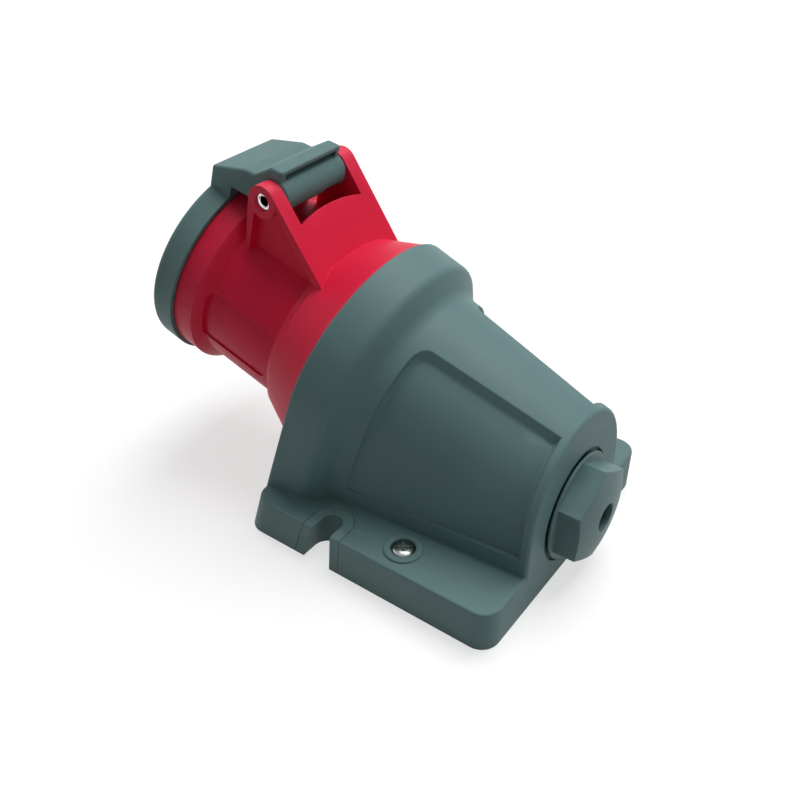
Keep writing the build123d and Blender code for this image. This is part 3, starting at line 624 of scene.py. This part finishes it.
def soften(shape: bmesh.types.BMesh, width: float, above: float, segments: int = 3) -> None:
    """Rounds every edge that is sharper than an angle.

    Args:
        shape: The mesh to change.
        width: Bevel width in metres.
        above: Least angle between the faces, in degrees.
        segments: Steps across the bevel.
    """
    edges = [e for e in shape.edges if e.is_manifold and e.calc_face_angle(0.0) > radians(above)]
    bmesh.ops.bevel(
        shape, geom=edges, offset=width, offset_type="OFFSET", affect="EDGES", segments=segments, profile=0.5,
        material=-1, clamp_overlap=True,
    )


def everything(shape: bmesh.types.BMesh) -> list:
    """Gives all corners, edges and faces of a mesh."""
    return shape.verts[:] + shape.edges[:] + shape.faces[:]


@dataclass
class GlandNut:
    """Domed hexagon cap of the cable gland."""

    maker: PieceMaker
    flats: int = 6
    across_flats: float = 33.0 * MM
    corner_at: float = 9.0 * MM
    dome: float = 2.8 * MM
    dome_steps: int = 8
    ring_radius: float = 20.4 * MM
    ring_length: float = 1.1 * MM
    ring_chamfer: float = 0.3 * MM
    hole: float = 5.3 * MM
    bore: float = 12.48 * MM
    face: float = 2.9 * MM
    edge: float = 0.45 * MM
    edge_angle: float = 24.0
    steps: int = 96

    @property
    def corner(self) -> float:
        """Radius of the hexagon's corners."""
        return self.across_flats / 2 / cos(pi / self.flats)

    def dome_height(self, radius: float) -> float:
        """Gives the dome's place along the axis at a radius, from the nut's rear."""
        ball = (self.corner**2 + self.dome**2) / (2 * self.dome)
        return self.corner_at + self.dome - ball + (ball**2 - radius**2) ** 0.5

    def blank(self) -> bmesh.types.BMesh:
        """Spins the cap and cuts its flats.

        Returns:
            The cap's mesh, its axis along X from the origin.
        """
        floor = self.corner_at + self.dome - self.face
        reach = self.corner - self.hole
        arc = [self.hole + reach * i / self.dome_steps for i in range(self.dome_steps + 1)]
        profile = [(self.dome_height(r), r) for r in arc]
        profile += [(0.0, self.corner), (0.0, self.bore), (floor, self.bore), (floor, self.hole)]
        shape = spun_shape(profile, self.steps)
        for side in range(self.flats):
            angle = tau * side / self.flats
            normal = Vector((0.0, cos(angle), sin(angle)))
            cut = bmesh.ops.bisect_plane(
                shape, geom=everything(shape), plane_co=normal * self.across_flats / 2, plane_no=normal,
                clear_outer=True, clear_inner=False,
            )
            rim = [item for item in cut["geom_cut"] if isinstance(item, bmesh.types.BMEdge)]
            bmesh.ops.contextual_create(shape, geom=rim)
        return shape

    def ring(self) -> bmesh.types.BMesh:
        """Spins the round ring behind the hexagon.

        Returns:
            The ring's mesh, its axis along X from the origin.
        """
        chamfered = self.ring_radius - self.ring_chamfer
        profile = [
            (0.0, self.bore),
            (0.0, chamfered),
            (self.ring_chamfer, self.ring_radius),
            (self.ring_length - self.ring_chamfer, self.ring_radius),
            (self.ring_length, chamfered),
            (self.ring_length, self.bore),
        ]
        return spun_shape(profile, self.steps)

    def build(self) -> bpy.types.Object:
        """Makes the nut in its place.

        Returns:
            The finished piece.
        """
        low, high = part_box("gland_nut")
        shape = self.blank()
        soften(shape, self.edge, above=self.edge_angle)
        ring = self.ring()
        mesh = bpy.data.meshes.new("ring")
        ring.to_mesh(mesh)
        ring.free()
        shape.from_mesh(mesh)
        bpy.data.meshes.remove(mesh)
        middle = (low + high) / 2
        bmesh.ops.translate(shape, verts=shape.verts, vec=Vector((low.x, middle.y, middle.z)))
        piece = self.maker.finish(shape, "gland_cap", "gland_turner", Surface.GLAND)
        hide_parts("gland_nut")
        return piece


@dataclass
class HingePin:
    """Hollow steel hinge pin with rolled ends."""

    maker: PieceMaker
    radius: float = 3.3 * MM
    bore: float = 1.8 * MM
    roll: float = 0.4 * MM
    roll_steps: int = 4
    mouth_depth: float = 0.5 * MM
    mouth_flare: float = 0.4 * MM
    bore_margin: float = 0.1 * MM
    steps: int = 64

    def build(self) -> bpy.types.Object:
        """Makes the pin in its place.

        Returns:
            The finished piece.
        """
        low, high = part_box("hinge_pin")
        half = (high.y - low.y) / 2
        angles = [i * pi / (2 * self.roll_steps) for i in range(self.roll_steps + 1)]
        outer = [
            (half - self.roll + self.roll * sin(a), self.radius - self.roll * (1 - cos(a)))
            for a in angles
        ]
        inner = [(half - self.mouth_depth, self.bore), (half, self.bore + self.mouth_flare)]
        right = inner + outer[::-1]
        left = [(-x, r) for x, r in right[::-1]]
        shape = spun_shape(right + left, self.steps)
        bmesh.ops.rotate(shape, verts=shape.verts, cent=(0, 0, 0), matrix=Matrix.Rotation(pi / 2, 3, "Z"))
        bmesh.ops.translate(shape, verts=shape.verts, vec=(low + high) / 2)
        piece = self.maker.finish(shape, "hollow_hinge_pin", "receptacle", Surface.PIN)
        # Painted shade darkens the bore's wall.
        self.mark_bore_shade(piece, (low + high) / 2)
        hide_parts("hinge_pin")
        return piece

    def mark_bore_shade(self, piece: bpy.types.Object, middle: Vector) -> None:
        """Marks the bore's wall, where painted shade darkens the pin's colour.

        Args:
            piece: The finished pin.
            middle: The pin's middle.
        """
        marks = piece.data.attributes.new(BORE_SHADE_ATTRIBUTE, "FLOAT", "CORNER")
        for face in piece.data.polygons:
            away = Vector(face.center) - middle
            inside = (away.x**2 + away.z**2) ** 0.5 < self.bore + self.bore_margin
            for corner in face.loop_indices:
                marks.data[corner].value = 1.0 if inside else 0.0


@dataclass
class LidSpring:
    """Torsion spring of the lid's hinge."""

    maker: PieceMaker
    leg_share: float = 0.16
    smooth: float = 60.0

    def build(self) -> bpy.types.Object:
        """Makes the spring in its place, on no body.

        Returns:
            The finished piece.
        """
        shape = bmesh.new()
        shape.from_mesh(frame["nodes"]["lid_spring"].data)
        piece = self.maker.finish(shape, "lid_torsion_spring", None, Surface.SPRING, smooth=self.smooth)
        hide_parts("lid_spring")
        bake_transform(piece)
        return piece


class RingFace(Enum):
    """Ways in which a rubber ring's working face is shaped."""

    PLAIN = "plain"
    TWO_BEADS = "two beads on the end face"
    RIBBED_BORE = "ribs round the bore"


@dataclass(frozen=True)
class AxisPlace:
    """A line that round pieces are spun about."""

    origin: tuple[float, float, float]
    direction: tuple[float, float, float]

    def put(self, shape: bmesh.types.BMesh) -> None:
        """Moves a mesh spun about X onto this line.

        Args:
            shape: The mesh to move.
        """
        turn = Vector((1.0, 0.0, 0.0)).rotation_difference(Vector(self.direction))
        bmesh.ops.rotate(shape, verts=shape.verts, cent=(0, 0, 0), matrix=turn.to_matrix())
        bmesh.ops.translate(shape, verts=shape.verts, vec=Vector(self.origin))


TILT = radians(17.4)
SOCKET_AXIS = AxisPlace((-20.7 * MM, 0.0, 56.8 * MM), (-cos(TILT), 0.0, sin(TILT)))
GLAND_AXIS = AxisPlace((70.0 * MM, 0.0, 26.6 * MM), (1.0, 0.0, 0.0))
UPWARDS = AxisPlace((0.0, 0.0, 0.0), (0.0, 0.0, 1.0))


@dataclass
class RubberRing:
    """One soft ring: the lid's gasket or a seal."""

    maker: PieceMaker
    node: str
    name: str
    body: str
    surface: Surface
    axis: AxisPlace
    inner: float
    outer: float
    bottom: float
    top: float
    face: RingFace = RingFace.PLAIN
    corner: float = 0.4 * MM
    corner_steps: int = 4
    ribs: int = 3
    rib_steps: int = 8
    rib_height: float = 0.35 * MM
    groove_depth: float = 0.6 * MM
    groove_steps: int = 6
    bead_share: float = 1.6
    smooth: float = 50.0
    steps: int = 128

    def corner_points(self, x: float, r: float, side_x: int, side_r: int) -> Profile:
        """Gives one rounded corner of the section.

        Args:
            x: The corner's place along the axis.
            r: The corner's radius.
            side_x: 1 at the top and -1 at the bottom.
            side_r: 1 outside and -1 inside.

        Returns:
            Points from the face across the axis to the face along it.
        """
        points = []
        for step in range(self.corner_steps + 1):
            angle = step * pi / (2 * self.corner_steps)
            along = self.corner * (1 - cos(angle))
            across = self.corner * (1 - sin(angle))
            points.append((x - side_x * along, r - side_r * across))
        return points

    def section(self) -> Profile:
        """Gives the ring's section as a closed line.

        Returns:
            Pairs of place along the axis and radius.
        """
        bottom_out = self.corner_points(self.bottom, self.outer, -1, 1)
        top_out = self.corner_points(self.top, self.outer, 1, 1)
        top_in = self.corner_points(self.top, self.inner, 1, -1)
        bottom_in = self.corner_points(self.bottom, self.inner, -1, -1)
        line = bottom_out + top_out[::-1] + top_in
        if self.face is RingFace.RIBBED_BORE:
            line += self.bore_ribs()
        line += bottom_in[::-1]
        if self.face is RingFace.TWO_BEADS:
            line += self.face_groove()
        return line

    def bore_ribs(self) -> Profile:
        """Draws the wavy line of the bore.

        Returns:
            Pairs of place along the axis and radius, from top to bottom.
        """
        start = self.top - 2 * self.corner
        run = self.top - self.bottom - 4 * self.corner
        count = self.ribs * self.rib_steps
        return [
            (start - run * i / count, self.inner + self.rib_height * (1 - cos(i * tau / self.rib_steps)) / 2)
            for i in range(count + 1)
        ]

    def face_groove(self) -> Profile:
        """Draws the shallow groove between the end face's two beads.

        Returns:
            Pairs of place along the axis and radius, from inside to outside.
        """
        middle = (self.inner + self.outer) / 2
        half = (self.outer - self.inner) / 2 - self.bead_share * self.corner
        count = self.groove_steps
        return [
            (self.bottom + self.groove_depth * (1 + cos(i * pi / count)) / 2, middle + half * i / count)
            for i in range(-count, count + 1)
        ]

    def build(self) -> bpy.types.Object:
        """Makes the ring in its place.

        Returns:
            The finished piece.
        """
        shape = spun_shape(self.section(), self.steps)
        self.axis.put(shape)
        piece = self.maker.finish(shape, self.name, self.body, self.surface, smooth=self.smooth)
        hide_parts(self.node)
        return piece


@dataclass
class CoverScrews:
    """Two pan-head screws with a slot and a cross in one recess."""

    maker: PieceMaker
    along: float = 28.5 * MM
    apart: float = 45.3 * MM
    seat: float = 14.9 * MM
    head: float = 4.1 * MM
    height: float = 3.0 * MM
    crown_share: float = 0.30
    rim_share: float = 0.55
    skirt_share: float = 0.12
    dome_steps: int = 12
    under_chamfer: float = 0.25 * MM
    shank: float = 1.95 * MM
    length: float = 9.8 * MM
    point: float = 1.5 * MM
    point_radius: float = 0.5 * MM
    point_cap: float = 0.1 * MM
    slot_width: float = 0.85 * MM
    slot_share: float = 0.80
    slot_lift: float = 0.3 * MM
    cross_share: float = 0.56
    centre_share: float = 0.26
    centre_lift: float = 0.1 * MM
    recess: float = 1.35 * MM
    taper: tuple[float, float, float] = (0.82, 0.8, 1.0)
    turn: float = 35.0
    smooth: float = 28.0
    steps: int = 72

    def blank(self) -> bmesh.types.BMesh:
        """Spins one screw with no recess, pointing down from the origin.

        Returns:
            The screw's mesh.
        """
        crown = [(self.height, 0.0)]
        for step in range(self.dome_steps + 1):
            angle = step * pi / (2 * self.dome_steps)
            across = self.head * (self.crown_share + (1 - self.crown_share) * sin(angle))
            crown.append((self.height * (self.rim_share + (1 - self.rim_share) * cos(angle)), across))
        under = self.head - self.under_chamfer
        skirt = [(self.height * self.skirt_share, self.head), (0.0, under), (0.0, self.shank)]
        end = self.length + self.point
        tip = [(-self.length, self.shank), (-end, self.point_radius), (-end - self.point_cap, 0.0)]
        shape = spun_shape(crown + skirt + tip, self.steps, closed=False)
        UPWARDS.put(shape)
        return shape

    def recess_tool(self) -> bmesh.types.BMesh:
        """Makes the form that cuts the slot and the tapered cross.

        Returns:
            The tool's mesh.
        """
        tool = bmesh.new()
        floor = self.height - self.recess
        centre = self.head * self.centre_share
        for half_long, half_wide, low, turn in (
            (self.head * self.slot_share, self.slot_width / 2, floor + self.slot_lift, 0.0),
            (self.head * self.cross_share, self.slot_width / 2, floor, pi / 2),
            (centre, centre, floor + self.centre_lift, pi / 4),
        ):
            made = bmesh.ops.create_cube(tool, size=2.0)["verts"]
            bmesh.ops.scale(tool, verts=made, vec=(half_long, half_wide, self.height / 2))
            bmesh.ops.translate(tool, verts=made, vec=(0, 0, low + self.height / 2))
            lower = [v for v in made if v.co.z < low + self.height / 2]
            bmesh.ops.scale(tool, verts=lower, vec=self.taper)
            bmesh.ops.rotate(tool, verts=made, cent=(0, 0, 0), matrix=Matrix.Rotation(turn, 3, "Z"))
        return tool

    def cut(self, blank: bmesh.types.BMesh, tool: bmesh.types.BMesh) -> bmesh.types.BMesh:
        """Cuts the recess into a screw.

        Args:
            blank: The whole screw. It is freed.
            tool: The recess's form. It is freed.

        Returns:
            The screw with its recess.
        """
        pair = []
        for name, shape in (("screw_blank", blank), ("recess_tool", tool)):
            mesh = bpy.data.meshes.new(name)
            shape.to_mesh(mesh)
            shape.free()
            thing = bpy.data.objects.new(name, mesh)
            bpy.context.scene.collection.objects.link(thing)
            pair.append(thing)
        cutter = pair[0].modifiers.new("recess", "BOOLEAN")
        cutter.operation = "DIFFERENCE"
        cutter.solver = "EXACT"
        cutter.use_self = True
        cutter.object = pair[1]
        view = bpy.context.evaluated_depsgraph_get()
        made = bpy.data.meshes.new_from_object(pair[0].evaluated_get(view))
        result = bmesh.new()
        result.from_mesh(made)
        bpy.data.meshes.remove(made)
        for thing in pair:
            mesh = thing.data
            bpy.data.objects.remove(thing)
            bpy.data.meshes.remove(mesh)
        bmesh.ops.remove_doubles(result, verts=result.verts, dist=CUT_MERGE_DISTANCE)
        return result

    def build(self) -> bpy.types.Object:
        """Makes both screws in their places.

        Returns:
            The finished piece.
        """
        one = self.cut(self.blank(), self.recess_tool())
        turn = Matrix.Rotation(radians(self.turn), 3, "Z")
        bmesh.ops.rotate(one, verts=one.verts, cent=(0, 0, 0), matrix=turn)
        bmesh.ops.translate(one, verts=one.verts, vec=(self.along, -self.apart, self.seat))
        twin = bmesh.ops.duplicate(one, geom=everything(one))["geom"]
        moved = [item for item in twin if isinstance(item, bmesh.types.BMVert)]
        bmesh.ops.translate(one, verts=moved, vec=(0, 2 * self.apart, 0))
        piece = self.maker.finish(one, "pan_head_screws", "receptacle", Surface.SCREW, smooth=self.smooth)
        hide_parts("cover_screws")
        return piece


@dataclass(frozen=True)
class Softbox:
    """One square lamp: its name, its place and size in metres, and its power in watts."""

    name: str
    place: tuple[float, float, float]
    size: float
    power: float

    def hang(self, target: Vector) -> bpy.types.Object:
        """Hangs the lamp.

        Args:
            target: The point that it is aimed at.

        Returns:
            The lamp.
        """
        data = bpy.data.lights.new(self.name, "AREA")
        data.shape = "SQUARE"
        data.size = self.size
        data.energy = self.power
        lamp = bpy.data.objects.new(self.name, data)
        lamp.location = self.place
        lamp.rotation_mode = "QUATERNION"
        lamp.rotation_quaternion = (target - Vector(self.place)).to_track_quat("-Z", "Y")
        bpy.context.scene.collection.objects.link(lamp)
        return lamp


@dataclass
class Studio:
    """Camera, lamps, floor and background."""

    image: int = 800
    focal_px: float = 961.41
    azimuth: float = 35.9
    elevation: float = 36.04
    distance: float = 365.24 * MM
    target: tuple[float, float, float] = (-5.7 * MM, 0.0, 39.34 * MM)
    sensor: float = 36.0
    clip: tuple[float, float] = (0.01, 20.0)
    ambient: float = 0.150
    paper_half: float = 4.0
    paper_tone: float = 0.46
    paper_glow: float = 0.64
    paper_fade: tuple[float, float] = (0.35, 1.6)
    lamps: tuple[Softbox, ...] = (
        Softbox("overhead_softbox", (0.05, 0.60, 1.5), 1.1, 23.0),
        Softbox("left_fill", (-0.9, -0.2, 0.55), 0.7, 0.9),
        Softbox("right_fill", (1.0, 0.1, 0.45), 0.6, 1.1),
    )

    def camera(self) -> bpy.types.Object:
        """Places the camera at the photograph's angle.

        Returns:
            The camera.
        """
        a, e = radians(self.azimuth), radians(self.elevation)
        back = Vector((sin(a) * cos(e), -cos(a) * cos(e), sin(e)))
        data = bpy.data.cameras.new("camera")
        data.sensor_width = self.sensor
        data.lens = self.focal_px / self.image * self.sensor
        data.clip_start, data.clip_end = self.clip
        camera = bpy.data.objects.new("camera", data)
        camera.location = Vector(self.target) + back * self.distance
        camera.rotation_mode = "QUATERNION"
        camera.rotation_quaternion = (-back).to_track_quat("-Z", "Y")
        bpy.context.scene.collection.objects.link(camera)
        bpy.context.scene.camera = camera
        return camera

    @staticmethod
    def seen(tree: NodeTree) -> bpy.types.NodeSocket:
        """Tells rays that look at a surface from rays that carry its light.

        Args:
            tree: The tree that asks.

        Returns:
            A socket with 1 for camera, glossy and transmission rays and 0 for others.
        """
        path = tree.add("ShaderNodeLightPath")
        shiny = tree.math("MAXIMUM", path.outputs["Is Glossy Ray"], path.outputs["Is Transmission Ray"])
        return tree.math("MAXIMUM", path.outputs["Is Camera Ray"], shiny)

    def background(self) -> None:
        """Makes the world white to look at and dim as a light."""
        world = bpy.data.worlds.new("white_studio")
        bpy.context.scene.world = world
        world.use_nodes = True
        tree = NodeTree(world.node_tree)
        shade = world.node_tree.nodes["Background"]
        shade.inputs["Color"].default_value = (1.0, 1.0, 1.0, 1.0)
        tree.link(tree.spread(self.seen(tree), self.ambient, 1.0), shade.inputs["Strength"])

    def floor(self) -> bpy.types.Object:
        """Lays the paper floor, which keeps the shadow and turns fully white further out.

        Returns:
            The floor.
        """
        shape = bmesh.new()
        bmesh.ops.create_grid(shape, x_segments=1, y_segments=1, size=self.paper_half)
        mesh = bpy.data.meshes.new("paper_floor")
        shape.to_mesh(mesh)
        shape.free()
        floor = bpy.data.objects.new("paper_floor", mesh)
        bpy.context.scene.collection.objects.link(floor)
        material, tree, unused = new_material("white_paper")
        nodes = material.node_tree.nodes
        nodes.remove(unused)
        matt = tree.add("ShaderNodeBsdfDiffuse", {"Color": scaled((1.0, 1.0, 1.0), self.paper_tone)})
        away = tree.add("ShaderNodeVectorMath", operation="LENGTH")
        tree.link(tree.place(), away.inputs[0])
        white = tree.spread(away.outputs["Value"], self.paper_glow, 1.0, self.paper_fade, "SMOOTHSTEP")
        glow = tree.add("ShaderNodeEmission")
        tree.link(tree.math("MULTIPLY", self.seen(tree), white), glow.inputs["Strength"])
        both = tree.add("ShaderNodeAddShader")
        for shader, socket in zip((matt, glow), both.inputs):
            tree.link(shader.outputs[0], socket)
        tree.link(both.outputs[0], nodes["Material Output"].inputs["Surface"])
        mesh.materials.append(material)
        return floor

    def build(self) -> None:
        """Sets the whole studio up."""
        bpy.context.scene.view_settings.view_transform = "Standard"
        self.camera()
        self.background()
        self.floor()
        for lamp in self.lamps:
            lamp.hang(Vector(self.target))
        LOG.info("studio ready")


def rubber_rings(maker: PieceMaker) -> list[RubberRing]:
    """Lists the soft rings.

    Args:
        maker: What finishes them.

    Returns:
        The rings, not built yet.
    """
    return [
        RubberRing(
            maker, "lid_gasket", "lid_face_gasket", "lid", Surface.SEAL, SOCKET_AXIS,
            inner=33.2 * MM, outer=37.7 * MM, bottom=65.8 * MM, top=68.0 * MM, face=RingFace.TWO_BEADS,
        ),
        RubberRing(
            maker, "socket_seal", "collar_seal_ring", "receptacle", Surface.SEAL, SOCKET_AXIS,
            inner=41.7 * MM, outer=43.1 * MM, bottom=-1.2 * MM, top=0.0,
        ),
        RubberRing(
            maker, "gland_seal", "cable_seal_ring", "receptacle", Surface.GLAND_SEAL, GLAND_AXIS,
            inner=5.7 * MM, outer=9.35 * MM, bottom=-2.8 * MM, top=3.5 * MM, face=RingFace.RIBBED_BORE,
            steps=72,
        ),
    ]


def main() -> None:
    """Builds the studio and the receptacle's pieces and reports them."""
    logging.basicConfig(level=logging.INFO, format="%(name)s: %(message)s")
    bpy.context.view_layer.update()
    Studio().build()
    wardrobe = Wardrobe()
    wardrobe.dress_frame()
    maker = PieceMaker(wardrobe)
    GlandNut(maker).build()
    HingePin(maker).build()
    LidSpring(maker).build()
    CoverScrews(maker).build()
    for ring in rubber_rings(maker):
        ring.build()
    LOG.info("sizes written")


if __name__ == "__main__":
    main()
